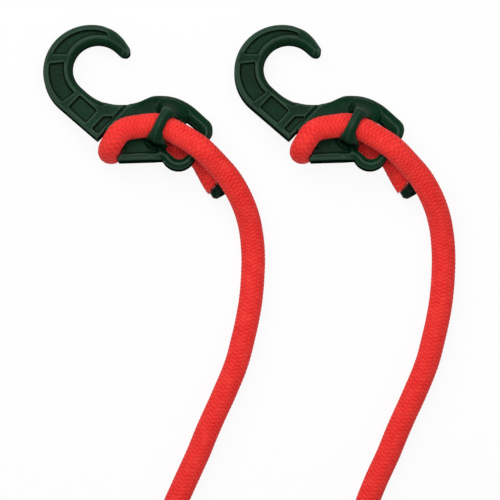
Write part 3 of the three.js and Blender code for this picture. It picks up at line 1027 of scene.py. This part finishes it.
@dataclass
class BraidedCord:
    """The elastic cord: a braided tube from the plug round the eye and on to the hub."""

    braid: Braid = field(default_factory=Braid)
    around: int = 60
    relief: float = 0.10 * MM
    unevenness: float = 0.05 * MM
    ring_step: float = 0.25 * MM
    stretch: float = 0.07
    stretch_at: float = 54 * MM
    stretch_width: float = 13 * MM
    finish: BraidFinish = field(default_factory=BraidFinish)
    material: bpy.types.Material | None = None

    def __post_init__(self) -> None:
        """Makes the one material that all the cords share."""
        self.material = self.finish.make(self.braid)

    def tube(self, name: str, line: Points, frames: tuple, start: float) -> bpy.types.Object:
        """Builds one stretch of the cord.

        Args:
            name: The object's name.
            line: The stretch's evenly spaced middle points.
            frames: The two cross directions at each of them.
            start: How far along the whole cord the stretch starts.

        Returns:
            The stretch, closed at both ends.
        """
        rings = len(line) - 1
        mesh = bmesh.new()
        mesh.loops.layers.uv.new("braid")
        bmesh.ops.create_grid(mesh, x_segments=self.around, y_segments=rings, size=1.0, calc_uvs=True)
        grid = np.array([v.co for v in mesh.verts])
        share = (grid[:, 0] + 1) / 2
        row = np.clip(np.rint((grid[:, 1] + 1) / 2 * rings).astype(int), 0, rings)
        step = np.linalg.norm(line[1] - line[0])
        along = start + row * step
        turn = 2 * math.pi * share
        lump = np.array([noise.noise((s * 160, math.cos(t) * 1.5, math.sin(t) * 1.5))
                         for s, t in zip(along, turn)])
        thin = self.stretch * np.exp(-((along - self.stretch_at) / self.stretch_width) ** 2)
        radius = CORD_RADIUS * (1 - thin) - self.relief * (1 - self.braid.height(share, along))
        radius += self.unevenness * lump
        side = frames[0][row] * np.cos(turn)[:, None] + frames[1][row] * np.sin(turn)[:, None]
        places = line[row] + side * radius[:, None]
        for vert, place in zip(mesh.verts, places):
            vert.co = place
        layer = mesh.loops.layers.uv["braid"]
        for face in mesh.faces:
            for loop in face.loops:
                place = loop[layer].uv
                place.y = start + place.y * rings * step
        bmesh.ops.remove_doubles(mesh, verts=mesh.verts, dist=0.02 * MM)
        bmesh.ops.holes_fill(mesh, edges=[e for e in mesh.edges if e.is_boundary], sides=0)
        bmesh.ops.recalc_face_normals(mesh, faces=mesh.faces)
        made = smooth(object_of(name, mesh))
        made.data.materials.append(self.material)
        return made


@dataclass
class HookEnd:
    """A hook with its hitch of cord, its plug and the arm that leads to the hub.

    Places in the hook's plan are in millimetres, and so is what lifts it off the table.
    """

    plan: ArmPlan
    cord: BraidedCord
    pitch: float = 6.6
    roll: float = 8.0
    sink: float = 0.65
    saddle_v: float = -9.7
    wrap: tuple = (-4.4, -6.4)
    wrap_steps: int = 6
    under_bridge: tuple = (1.5, 1.7)
    past_eye: tuple = (25.6, 7.2, 6.6)
    plug_out: float = 0.5 * MM
    end_length: float = 7.6 * MM
    slant: float = 0.34
    slant_reach: float = 8 * MM

    def frame(self) -> Matrix:
        """Finds where the hook lies.

        Returns:
            The hook's place in the model's frame, in metres.
        """
        x, y, turn = self.plan.hook
        high = LAID_MM + CORD_RADIUS / MM - self.sink
        place = Matrix.Translation(Vector((x, y, high)) * MM)
        place @= Matrix.Rotation(math.radians(turn), 4, "Z")
        place @= Matrix.Rotation(math.radians(-self.pitch), 4, "Y")
        return place @ Matrix.Rotation(math.radians(-self.roll), 4, "X")

    def hitch_points(self) -> list:
        """Lists the cord's points from its plug round the eye.

        Returns:
            The points in the hook's plan, in millimetres.
        """
        laid = LAID_MM
        tail = [(30.4, 2.9, -laid - 2.55), (27.7, 3.6, -laid - 2.15), (24.9, 4.6, -laid - 1.7),
                (20.2, 5.7, -laid), (14.0, 4.4, -laid), (6.6, 1.1, -laid), (0.8, -3.7, -laid)]
        wrap = []
        for i in range(self.wrap_steps + 1):
            share = i / self.wrap_steps
            angle = math.pi * (-0.5 - share)
            u = self.wrap[0] + share * (self.wrap[1] - self.wrap[0])
            wrap.append((u, self.saddle_v + laid * math.cos(angle), laid * math.sin(angle)))
        front = [(-5.4, -6.5, laid), (-2.3, -2.4, laid), (*self.under_bridge, laid), (6.3, 4.1, laid),
                 (10.8, 5.2, laid), (15.8, 6.2, laid), (20.6, 6.7, 6.7)]
        return tail + wrap + front

    def route(self) -> tuple[Points, int]:
        """Follows the whole cord from its plug to the hub's collar.

        Returns:
            Evenly spaced points in metres, and the index of the one under the bridge.
        """
        place = self.frame()
        points = [list(place @ (Vector(point) * MM)) for point in self.hitch_points()]
        points += [(x * MM, y * MM, height * CORD_DIAMETER) for x, y, height in self.plan.route]
        angle = self.plan.port * math.pi / 4
        for reach in (COLLAR_REACH_MM + CORD_RADIUS / MM, COLLAR_REACH_MM - 0.1):
            points.append([*spot(reach * MM, angle), HUB_HALF_MM * MM])
        line = centripetal(np.array(points), self.cord.ring_step)
        bridge = np.array(place @ (Vector((*self.under_bridge, LAID_MM)) * MM))
        return line, int(np.argmin(np.linalg.norm(line - bridge, axis=1)))

    def outward(self, line: Points) -> Points:
        """Returns the way that the cord's free end faces."""
        return unit(line[0] - line[round(self.end_length / self.cord.ring_step)])

    def body_name(self) -> str:
        """Returns the name of the body that the hook moves with."""
        return f"hook_end_{self.plan.number}"

    def channel(self, room: float) -> bpy.types.Object:
        """Builds the room that the cord needs through the hook, in the hook's plan.

        Args:
            room: The gap round the cord, in millimetres.

        Returns:
            The solid to cut out.
        """
        line = centripetal(np.array(self.hitch_points() + [self.past_eye]) * MM, 0.8 * MM)
        frames = carried_frames(line)
        section = polygon(CORD_RADIUS + room * MM, 40)
        rings = [[middle + first * x + second * y for x, y in section]
                 for middle, first, second in zip(line, *frames)]
        return object_of("channel", swept(rings))

    def lay_cord(self) -> None:
        """Builds the hitch, joined to the hook's body, and the arm."""
        number = self.plan.number
        line, split = self.route()
        frames = carried_frames(line)
        step = float(np.linalg.norm(line[1] - line[0]))
        hitch = self.cord.tube(f"hitch_{number}", line[:split + 1], tuple(f[:split + 1] for f in frames), 0.0)
        self.slanted(hitch, line[0], self.outward(line))
        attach(hitch, self.body_name())
        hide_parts(f"hitch_sheath_{number}")
        arm = self.cord.tube(f"arm_{number}", line[split:], tuple(f[split:] for f in frames), split * step)
        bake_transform(arm)
        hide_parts(f"arm_sheath_{number}", f"arm_core_{number}")

    def place_hook(self, pattern: bpy.types.Object) -> bpy.types.Object:
        """Puts a copy of the cast hook where this one lies.

        Args:
            pattern: The hook in its own plan.

        Returns:
            The placed hook.
        """
        number = self.plan.number
        data = pattern.data.copy()
        data.transform(self.frame())
        made = placed(f"moulded_hook_{number}", data)
        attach(made, self.body_name())
        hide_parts(f"hook_{number}")
        return made

    def place_plug(self, form: "PlugForm") -> None:
        """Puts a plug and its frayed cuff in the cord's end.

        Args:
            form: The plug's sizes and finish.
        """
        number = self.plan.number
        line, _ = self.route()
        outward = self.outward(line)
        turn = Vector((0, 0, 1)).rotation_difference(Vector(outward)).to_matrix().to_4x4()
        place = Matrix.Translation(Vector(line[0] + outward * self.plug_out)) @ turn
        for made, slot in form.build(number, place):
            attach(made, self.body_name())
            if slot == "hook_plastic":
                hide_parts(f"end_plug_{number}")
            else:
                self.slanted(made, line[0], outward)

    def slanted(self, made: bpy.types.Object, end: Points, outward: Points) -> None:
        """Pulls the sheath's end out on one side, as its slanting cut left it.

        Args:
            made: The sheath or the yarn ends round it.
            end: The middle of the sheath's end.
            outward: The way the end faces.
        """
        across = -np.array(self.frame().to_3x3() @ Vector((0, 1, 0)))
        across = unit(across - outward * (across @ outward))
        places = positions(made)
        offset = places - end
        share = np.clip(1 + (offset @ outward) / self.slant_reach, 0, 1)
        places += outward * (self.slant * share * (offset @ across))[:, None]
        move_to(made, places)


@dataclass
class PlugForm:
    """The plug in a cord's end and the frayed yarn round it."""

    head_radius: float = 3.7 * MM
    head_length: float = 5.0 * MM
    chamfer: float = 1.0 * MM
    spigot_radius: float = 3.4 * MM
    spigot_length: float = 5.0 * MM
    rounding: float = 0.22 * MM
    sides: int = 8
    tufts: int = 70
    tuft_root: tuple = (3.95 * MM, 0, -0.7 * MM)
    finish: MouldedFinish = field(default_factory=lambda: MouldedFinish(
        name="plug_green", deep=(0.0012, 0.0090, 0.0050, 1), face=(0.0026, 0.0160, 0.0090, 1)))
    fray: FrayFinish = field(default_factory=FrayFinish)
    materials: list = field(default_factory=list)

    def __post_init__(self) -> None:
        """Makes the two materials that the four plugs share."""
        self.materials = [self.finish.make(), self.fray.make()]

    def head(self, name: str, place: Matrix) -> bpy.types.Object:
        """Builds the faceted head with its spigot.

        Args:
            name: The object's name.
            place: Where the head's foot is, with +Z outwards.

        Returns:
            The plug.
        """
        levels = [(self.spigot_radius, -self.spigot_length), (self.spigot_radius, 0.0),
                  (self.head_radius, 0.0), (self.head_radius, self.head_length - self.chamfer),
                  (self.head_radius - self.chamfer, self.head_length),
                  (self.head_radius - 1.9 * self.chamfer, self.head_length + 0.15 * MM)]
        mesh = swept([[(x, y, height) for x, y in polygon(radius, self.sides)]
                      for radius, height in levels])
        bmesh.ops.bevel(mesh, geom=mesh.edges[:], offset=self.rounding, segments=2, profile=0.5,
                        affect="EDGES", material=-1)
        bmesh.ops.transform(mesh, matrix=place, verts=mesh.verts)
        made = object_of(name, mesh)
        made.data.materials.append(self.materials[0])
        return made

    def cuff(self, name: str, place: Matrix, seed: int) -> bpy.types.Object:
        """Builds the sheath's loose yarn ends, in a ring round the plug.

        Args:
            name: The object's name.
            place: Where the head's foot is, with +Z outwards.
            seed: Which random draw to use.

        Returns:
            The cuff.
        """
        draw = np.random.default_rng(seed)
        mesh = bmesh.new()
        for i in range(self.tufts):
            angle = 2 * math.pi * (i + draw.uniform(-0.4, 0.4)) / self.tufts
            length = draw.uniform(0.6, 1.5) * MM
            lean = Matrix.Rotation(draw.uniform(-0.1, 0.5), 4, "Y")
            lean @= Matrix.Rotation(draw.uniform(-0.5, 0.5), 4, "X")
            root = Matrix.Rotation(angle, 4, "Z") @ Matrix.Translation(self.tuft_root)
            thick = draw.uniform(0.14, 0.26) * MM
            bmesh.ops.create_cone(mesh, cap_ends=True, segments=5, radius1=thick, radius2=0.4 * thick,
                                  depth=length, matrix=root @ lean @ Matrix.Translation((0, 0, length / 2)))
        bmesh.ops.transform(mesh, matrix=place, verts=mesh.verts)
        made = smooth(object_of(name, mesh))
        made.data.materials.append(self.materials[1])
        return made

    def build(self, number: int, place: Matrix) -> list:
        """Returns the plug and the cuff of one arm, each with its material slot."""
        return [(self.head(f"plug_{number}", place), "hook_plastic"),
                (self.cuff(f"frayed_cuff_{number}", place, number), "braid")]


@dataclass
class Hub:
    """The two-part hub with its collars and screws, in millimetres."""

    radius: float = 24.0
    edge: float = 2.2
    gap: float = 0.3
    floor: float = 2.2
    cavity: float = 13.0
    ports: tuple = (1, 3, 5, 7)
    sides: int = 96
    collar_radius: float = 7.2
    lip_height: float = 1.1
    lip_length: float = 2.8
    flute_radius: float = 1.0
    flute_out: float = 0.55
    flute_margin: float = 3.4
    flute_step: int = 5
    flute_clear: int = 24
    dish: tuple = (14.5, 0.8)
    well: tuple = (18.0, 0.7)
    screw_circle: float = 19.0
    screw_head: float = 2.8
    head_height: float = 2.1
    head_sunk: float = 0.6
    shank_radius: float = 1.5
    shank_length: float = 11.6
    recess: tuple = (3.2, 0.7, 2.0)
    finish: MouldedFinish = field(default_factory=lambda: MouldedFinish(name="hub_green"))
    steel: SteelFinish = field(default_factory=SteelFinish)

    def drum(self, name: str, radius: float, low: float, high: float) -> bpy.types.Object:
        """Returns a plain round solid, in millimetres."""
        return prism(name, arc(0, 0, radius, 0, 360, self.sides)[:-1], low, high)

    def turned(self, port: int, profile: list) -> bpy.types.Object:
        """Turns a profile into a round solid that lies in a port.

        Args:
            port: The port's number, in eighths of a turn.
            profile: Pairs of distance from the hub's axis and radius, from pole to pole.

        Returns:
            The solid, in millimetres.
        """
        mesh = bmesh.new()
        points = [mesh.verts.new((distance, 0, radius)) for distance, radius in profile]
        lines = [mesh.edges.new(pair) for pair in zip(points, points[1:])]
        bmesh.ops.spin(mesh, geom=points + lines, cent=(0, 0, 0), axis=(1, 0, 0), dvec=(0, 0, 0),
                       angle=2 * math.pi, steps=48, use_merge=True)
        bmesh.ops.remove_doubles(mesh, verts=mesh.verts, dist=1e-4)
        lay = Matrix.Translation((0, 0, HUB_HALF_MM)) @ Matrix.Rotation(port * math.pi / 4, 4, "Z")
        bmesh.ops.transform(mesh, matrix=lay, verts=mesh.verts)
        bmesh.ops.recalc_face_normals(mesh, faces=mesh.faces)
        return object_of("turned", mesh)

    def collar(self, port: int) -> bpy.types.Object:
        """Turns a collar with its thicker lip.

        Args:
            port: The port's number, in eighths of a turn.

        Returns:
            The solid, in millimetres.
        """
        root, lip, reach = self.collar_radius, self.collar_radius + self.lip_height, COLLAR_REACH_MM
        start = reach - self.lip_length
        return self.turned(port, [(10, 0), (10, root), (start, root), (start + 0.5, lip - 0.3),
                                  (start + 0.9, lip), (reach - 0.5, lip), (reach, lip - 0.5), (reach, 0)])

    def bore(self, port: int) -> bpy.types.Object:
        """Turns the cord's way through a port, with a flared mouth.

        Args:
            port: The port's number, in eighths of a turn.

        Returns:
            The solid, in millimetres.
        """
        bore = CORD_RADIUS / MM + 0.25
        mouth, reach = bore + 1.1, COLLAR_REACH_MM
        return self.turned(port, [(8, 0), (8, bore), (reach - 0.9, bore), (reach + 0.6, mouth),
                                  (reach + 6, mouth), (reach + 6, 0)])

    def fittings(self, top: float) -> list:
        """Makes what is cut out of a shell for the cords, the screws and the fingers.

        Args:
            top: The whole hub's height.

        Returns:
            The solids, in millimetres.
        """
        tools = [self.drum("cavity", self.cavity, self.floor, top - self.floor)]
        tools += [self.bore(port) for port in self.ports]
        for quarter in range(4):
            u, v = spot(self.screw_circle, quarter * math.pi / 2)
            ring = arc(u, v, self.screw_head + 0.3, 0, 360, 40)[:-1]
            tools.append(prism("bore", ring, top - 3, top + 2))
        for angle in range(0, 360, self.flute_step):
            beside = (angle + 45) % 90
            if min(beside, 90 - beside) < self.flute_clear:
                continue
            u, v = spot(self.radius + self.flute_out, math.radians(angle))
            ring = arc(u, v, self.flute_radius, 0, 360, 10)[:-1]
            tools.append(prism("flute", ring, self.flute_margin, top - self.flute_margin))
        tools.append(self.drum("dish", self.dish[0], top - self.dish[1], top + 2))
        tools.append(self.drum("well", self.well[0], -2, self.well[1]))
        return tools

    def shell(self, layer: Layer) -> bpy.types.Object:
        """Casts one shell.

        Args:
            layer: Which shell.

        Returns:
            The shell, riding on the hub's body.
        """
        top = 2 * HUB_HALF_MM
        body = self.drum("shell", self.radius, 0, top)
        edges = body.modifiers.new("edges", "BEVEL")
        edges.width = self.edge
        edges.segments = 5
        edges.limit_method = "ANGLE"
        applied(body)
        cut(body, [self.collar(port) for port in self.ports], "UNION")
        self.keep_half(body, layer)
        cut(body, self.fittings(top))
        body.data.transform(Matrix.Scale(MM, 4))
        body.name = f"hub_shell_{layer.value}"
        cast(body, Bake.HUB, 3)
        mark_surface(body, 2)
        dressed(body, self.finish.make())
        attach(body, HUB_BODY)
        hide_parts(f"hub_{layer.value}_shell")
        return body

    def keep_half(self, body: bpy.types.Object, layer: Layer) -> None:
        """Cuts the hub at its parting plane and closes the cut.

        Args:
            body: The whole hub's solid.
            layer: Which half is kept.
        """
        mesh = bmesh.new()
        mesh.from_mesh(body.data)
        upper = layer is Layer.UPPER
        height = HUB_HALF_MM + (0.5 if upper else -0.5) * self.gap
        bmesh.ops.bisect_plane(mesh, geom=mesh.verts[:] + mesh.edges[:] + mesh.faces[:],
                               plane_co=(0, 0, height), plane_no=(0, 0, 1),
                               clear_outer=not upper, clear_inner=upper)
        bmesh.ops.holes_fill(mesh, edges=[e for e in mesh.edges if e.is_boundary], sides=0)
        bmesh.ops.recalc_face_normals(mesh, faces=mesh.faces)
        mesh.to_mesh(body.data)
        mesh.free()

    def screw(self, number: int, material: bpy.types.Material) -> None:
        """Builds one pan-head screw with its cross recess.

        Args:
            number: The screw's number, from one to four.
            material: Its steel.
        """
        top, quarter = 2 * HUB_HALF_MM - self.head_sunk, number - 1
        mesh = bmesh.new()
        bmesh.ops.create_cone(mesh, cap_ends=True, segments=32, radius1=self.screw_head,
                              radius2=self.screw_head, depth=self.head_height)
        bmesh.ops.translate(mesh, verts=mesh.verts, vec=(0, 0, top - self.head_height / 2))
        upper = [e for e in mesh.edges if all(v.co.z > top - 0.1 for v in e.verts)]
        bmesh.ops.bevel(mesh, geom=upper, offset=0.8, segments=4, profile=0.5, affect="EDGES", material=-1)
        middle = top - self.head_height - self.shank_length / 2
        bmesh.ops.create_cone(mesh, cap_ends=True, segments=20, radius1=self.shank_radius,
                              radius2=self.shank_radius, depth=self.shank_length,
                              matrix=Matrix.Translation((0, 0, middle)))
        made = object_of(f"screw_{number}", mesh)
        blades = []
        for turn in (0.3 + quarter, 0.3 + quarter + math.pi / 2):
            blade = bmesh.new()
            bmesh.ops.create_cube(blade, size=1.0)
            shape = Matrix.Translation((0, 0, top)) @ Matrix.Rotation(turn, 4, "Z")
            shape @= Matrix.Diagonal((*self.recess, 1))
            bmesh.ops.transform(blade, matrix=shape, verts=blade.verts)
            blades.append(object_of("blade", blade))
        cut(made, blades)
        made.data.transform(Matrix.Translation((*spot(self.screw_circle, quarter * math.pi / 2), 0)))
        made.data.transform(Matrix.Scale(MM, 4))
        dressed(made, material)
        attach(made, HUB_BODY)
        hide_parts(f"hub_screw_{number}")

    def build(self) -> None:
        """Builds the whole hub."""
        for layer in Layer:
            shell = self.shell(layer)
            LOG.info("%s: %d faces", shell.name, len(shell.data.polygons))
        steel = self.steel.make()
        for number in range(1, 5):
            self.screw(number, steel)


@dataclass
class Studio:
    """The camera, the lamps, the floor and the white background."""

    middle: tuple = (0.0, 0.182, 0.0)
    distance: float = 1.2
    seen_width: float = 187.5 * MM
    focus_height: float = 8 * MM
    sensor: float = 36.0
    floor_size: float = 3.0
    floor_glow: float = 0.9
    soft_light: float = 0.38
    lamps: tuple = (("key", (-0.42, 0.74, 0.60), 0.42, 2.2),
                    ("fill", (0.45, 0.15, 0.70), 0.6, 1.0),
                    ("top", (-0.04, 0.32, 0.50), 0.4, 1.6))

    def camera(self) -> None:
        """Looks straight down, as the photo does."""
        data = bpy.data.cameras.new("camera")
        data.sensor_width = self.sensor
        data.lens = self.sensor * (self.distance - self.focus_height) / self.seen_width
        data.clip_start = 0.05
        bpy.context.scene.camera = placed("camera", data, (*self.middle[:2], self.distance))

    def lamp(self, name: str, place: tuple, size: float, power: float) -> None:
        """Adds a square soft lamp that points at the strap.

        Args:
            name: The lamp's name.
            place: Where it is.
            size: Its side.
            power: Its power in watts.
        """
        data = bpy.data.lights.new(name, "AREA")
        data.size = size
        data.energy = power
        aim = Vector(self.middle) - Vector(place)
        placed(name, data, place).rotation_euler = aim.to_track_quat("-Z", "Y").to_euler()

    def floor(self) -> None:
        """Lays a white floor that keeps the strap's soft shadow."""
        mesh = bmesh.new()
        bmesh.ops.create_grid(mesh, x_segments=2, y_segments=2, size=self.floor_size)
        made = object_of("floor", mesh)
        made.location.z = -0.1 * MM
        board = Board("white_floor")
        board.set(Base_Color=(0.9, 0.9, 0.9, 1), Roughness=0.9)
        glow = board.node("ShaderNodeEmission")
        share = board.product(self.seen(board.tree), self.floor_glow)
        surface = board.tree.nodes["Material Output"].inputs["Surface"]
        self.mix(board.tree, share, board.shader.outputs[0], glow.outputs[0], surface)
        dressed(made, board.material)

    def seen(self, tree: bpy.types.NodeTree) -> bpy.types.NodeSocket:
        """Tells what the camera sees from what lights the strap.

        Args:
            tree: The tree that the nodes are added to.

        Returns:
            One where the camera looks, straight or through glass.
        """
        path = tree.nodes.new("ShaderNodeLightPath")
        either = tree.nodes.new("ShaderNodeMath")
        either.operation = "MAXIMUM"
        for ray, socket in zip(("Is Camera Ray", "Is Transmission Ray"), either.inputs):
            tree.links.new(path.outputs[ray], socket)
        return either.outputs[0]

    def mix(self, tree: bpy.types.NodeTree, *sockets: bpy.types.NodeSocket) -> None:
        """Mixes two shaders into an output.

        Args:
            tree: The tree that they are in.
            *sockets: The second one's share, the two shaders and the output.
        """
        made = tree.nodes.new("ShaderNodeMixShader")
        for source, socket in zip(sockets[:3], made.inputs):
            tree.links.new(source, socket)
        tree.links.new(made.outputs[0], sockets[3])

    def world(self) -> None:
        """Lights the strap evenly from all round, in front of a white background."""
        world = bpy.data.worlds.new("studio")
        world.use_nodes = True
        bpy.context.scene.world = world
        tree = world.node_tree
        tree.nodes.clear()
        soft, white = (tree.nodes.new("ShaderNodeBackground") for _ in range(2))
        soft.inputs["Strength"].default_value = self.soft_light
        surface = tree.nodes.new("ShaderNodeOutputWorld").inputs["Surface"]
        self.mix(tree, self.seen(tree), soft.outputs[0], white.outputs[0], surface)

    def build(self) -> None:
        """Sets the whole studio up."""
        bpy.context.scene.view_settings.view_transform = "Standard"
        self.camera()
        self.floor()
        self.world()
        for lamp in self.lamps:
            self.lamp(*lamp)


def with_heights(places: list, last: tuple) -> list:
    """Gives a route its heights: down from the eye, along the table and up to the hub.

    Args:
        places: The route's places as pairs.
        last: The heights of its last places.

    Returns:
        The places with their heights, in cord diameters.
    """
    first = (1.78, 1.58, 1.17, 0.76, 0.53)
    level = [0.5] * (len(places) - len(first) - len(last))
    return [(x, y, height) for (x, y), height in zip(places, (*first, *level, *last))]


def arm_plans() -> list:
    """Lists the four arms, with their routes repeated from the model's source.

    Returns:
        The plans.
    """
    left = [(-11.8, 213.4), (-7.8, 208.8), (-3.0, 200.4), (-0.15, 191.8), (1.1, 182.0), (1.05, 172.6),
            (0, 161.4), (-2.25, 150.1), (-5.25, 138.9), (-9.9, 127.6), (-15.0, 116.4), (-19.7, 105.1),
            (-24.8, 93.9)]
    right = [(round(x + ENDS_APART_MM, 2), y) for x, y in left]
    routes = [
        left + [(-29.8, 82.6), (-34.6, 70.4), (-37.6, 57.6), (-36.8, 45.4), (-32.4, 35.2)],
        right + [(42.4, 82.0), (39.6, 69.6), (38.2, 57.2), (36.2, 45.6), (32.2, 35.4)],
        [(70.2, -22.0), (70.2, -28.2), (70.2, -37.6), (70.2, -47.0), (70.0, -57.0), (69.6, -68.0),
         (68.4, -79.0), (65.0, -89.6), (58.0, -98.4), (48.0, -103.0), (37.4, -101.4), (29.6, -94.2),
         (26.4, -83.6), (27.4, -72.4), (30.6, -61.6), (33.6, -52.0), (34.6, -43.6), (31.8, -34.6)],
        [(-60.3, 0), (-60.3, -6.2), (-60.3, -15.6), (-60.2, -25.0), (-60.0, -36.0), (-59.6, -48.0),
         (-59.2, -61.0), (-58.8, -74.0), (-57.4, -86.0), (-52.4, -96.6), (-43.2, -103.0), (-32.6, -101.6),
         (-25.2, -93.6), (-23.2, -83.0), (-25.8, -72.4), (-30.2, -61.6), (-33.8, -52.0), (-34.8, -43.6),
         (-31.8, -34.6)],
    ]
    upper, lower = (0.51, 0.69, 1.02), (0.53, 0.73, 1.04)
    return [
        ArmPlan(1, (-37.5, 227, -42), 3, with_heights(routes[0], upper), (0, 0.092, 0), (0, 0.197, 0)),
        ArmPlan(2, (34.1, 227, -42), 1, with_heights(routes[1], upper), (0, 0.092, 0), (0, 0.197, 0)),
        ArmPlan(3, (62.5, 8, -90), 7, with_heights(routes[2], lower), (0.035, 0, 0), (0.066, 0, 0)),
        ArmPlan(4, (-68, 30, -90), 5, with_heights(routes[3], lower), (-0.0355, 0, 0), (-0.057, 0, 0)),
    ]


def dress_kept_nodes() -> None:
    """Gives the nodes that stay from the model their finishes."""
    rubber = RubberFinish().make()
    for name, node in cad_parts.items():
        if node.hide_render:
            continue
        yarn = name.startswith("hub_cord_sheath")
        dressed(node, HiddenYarnFinish(f"{name}_yarn").make() if yarn else rubber)


def main() -> None:
    """Builds the strap and its studio."""
    logging.basicConfig(level=logging.INFO)
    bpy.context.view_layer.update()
    Studio().build()
    cord = BraidedCord()
    ends = [HookEnd(plan, cord) for plan in arm_plans()]
    for end in ends:
        end.lay_cord()
    form = HookForm()
    pattern = form.build(ends[0].channel(form.channel_room))
    plug = PlugForm()
    for end in ends:
        made = end.place_hook(pattern)
        end.place_plug(plug)
        LOG.info("%s: %d faces", made.name, len(made.data.polygons))
    removed(pattern)
    Hub().build()
    dress_kept_nodes()


if __name__ == "__main__":
    main()
